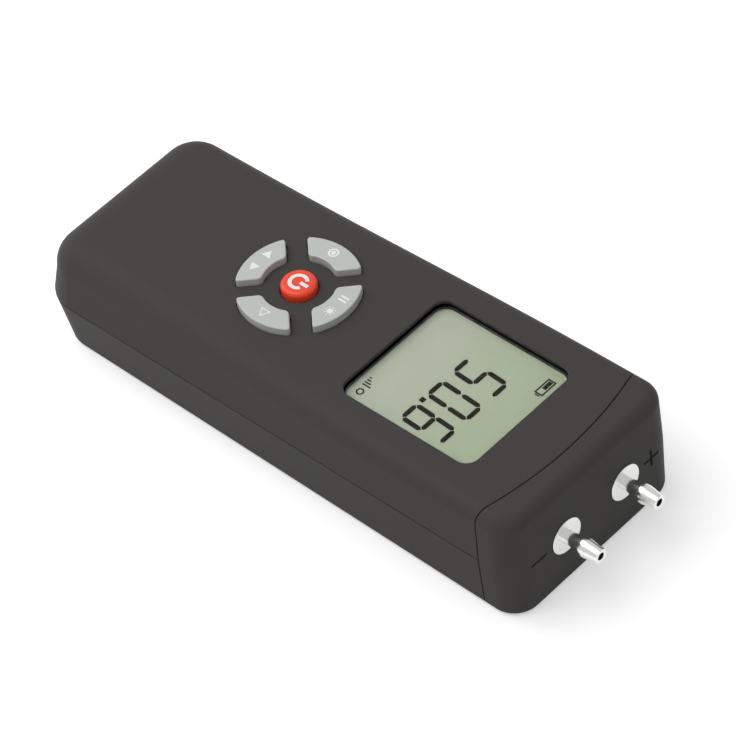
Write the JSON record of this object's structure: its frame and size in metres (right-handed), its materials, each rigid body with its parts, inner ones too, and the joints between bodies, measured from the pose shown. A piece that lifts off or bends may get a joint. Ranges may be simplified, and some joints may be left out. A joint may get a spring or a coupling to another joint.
{
  "type": "handheld digital manometer",
  "caption": "Handheld pressure meter: a long rounded case with a display window, a round group of push keys and barbed metal hose ports at one end.",
  "frame": {"origin": "middle of the flat back face that the meter lies on", "axes": "+Z out of the display, +Y along the hose ports, +X to the reader's right when the ports point up, beside the port marked minus"},
  "size_m": [0.0754, 0.2165, 0.0445],
  "materials": {
    "case_front": "fine grain, satin",
    "case_rear": "fine grain, satin",
    "lens": "clear acrylic, polished",
    "display": "green-grey liquid crystal glass",
    "black_plastic": "satin",
    "white_plastic": "satin",
    "pink_rubber": "matt",
    "red_key": "satin silicone",
    "grey_key": "satin silicone",
    "switch_steel": "satin",
    "board": "solder mask",
    "chip": "matt",
    "clear_tube": "clear silicone",
    "plated": "polished nickel plate",
    "brass": "satin",
    "battery_jacket": "satin",
    "red_lead": "satin",
    "black_lead": "satin",
    "dark_steel": "black oxide"
  },
  "bodies": {
    "housing": {"front_cover": "case_front", "rear_cover": "case_rear", "end_cap": "case_rear", "window_lens": "lens", "display_frame": "black_plastic", "display_glass": "display", "contact_strips": "pink_rubber", "light_box": "white_plastic", "key_switches": "switch_steel", "circuit_board": "board", "controller_chip": "chip", "amplifier_chip": "chip", "quartz_crystal": "switch_steel", "pressure_sensor": "white_plastic", "plus_tube": "clear_tube", "minus_tube": "clear_tube", "plus_port": "plated", "minus_port": "plated", "port_nuts": "brass", "battery": "battery_jacket", "battery_snap": "black_plastic", "red_lead": "red_lead", "black_lead": "black_lead", "case_screws": "dark_steel", "board_screws": "switch_steel"},
    "door": {"battery_door": "case_rear"},
    "power_button": {"power_key": "red_key", "power_plunger": "black_plastic"},
    "upper_button": {"upper_key": "grey_key", "upper_plunger": "black_plastic"},
    "lower_button": {"lower_key": "grey_key", "lower_plunger": "black_plastic"},
    "left_button": {"left_key": "grey_key", "left_plunger": "black_plastic"},
    "right_button": {"right_key": "grey_key", "right_plunger": "black_plastic"}
  },
  "joints": [
    {"name": "power_press", "type": "slide", "parent": "housing", "child": "power_button", "axis": [0, 0, -1], "range_m": [0, 0.0008], "stiffness_N_per_m": 2000},
    {"name": "upper_press", "type": "slide", "parent": "housing", "child": "upper_button", "axis": [0, 0, -1], "range_m": [0, 0.0008], "stiffness_N_per_m": 2000},
    {"name": "lower_press", "type": "slide", "parent": "housing", "child": "lower_button", "axis": [0, 0, -1], "range_m": [0, 0.0008], "stiffness_N_per_m": 2000},
    {"name": "left_press", "type": "slide", "parent": "housing", "child": "left_button", "axis": [0, 0, -1], "range_m": [0, 0.0008], "stiffness_N_per_m": 2000},
    {"name": "right_press", "type": "slide", "parent": "housing", "child": "right_button", "axis": [0, 0, -1], "range_m": [0, 0.0008], "stiffness_N_per_m": 2000},
    {"name": "door_slide", "type": "slide", "parent": "housing", "child": "door", "axis": [0, -1, 0], "range_m": [0, 0.058]}
  ]
}
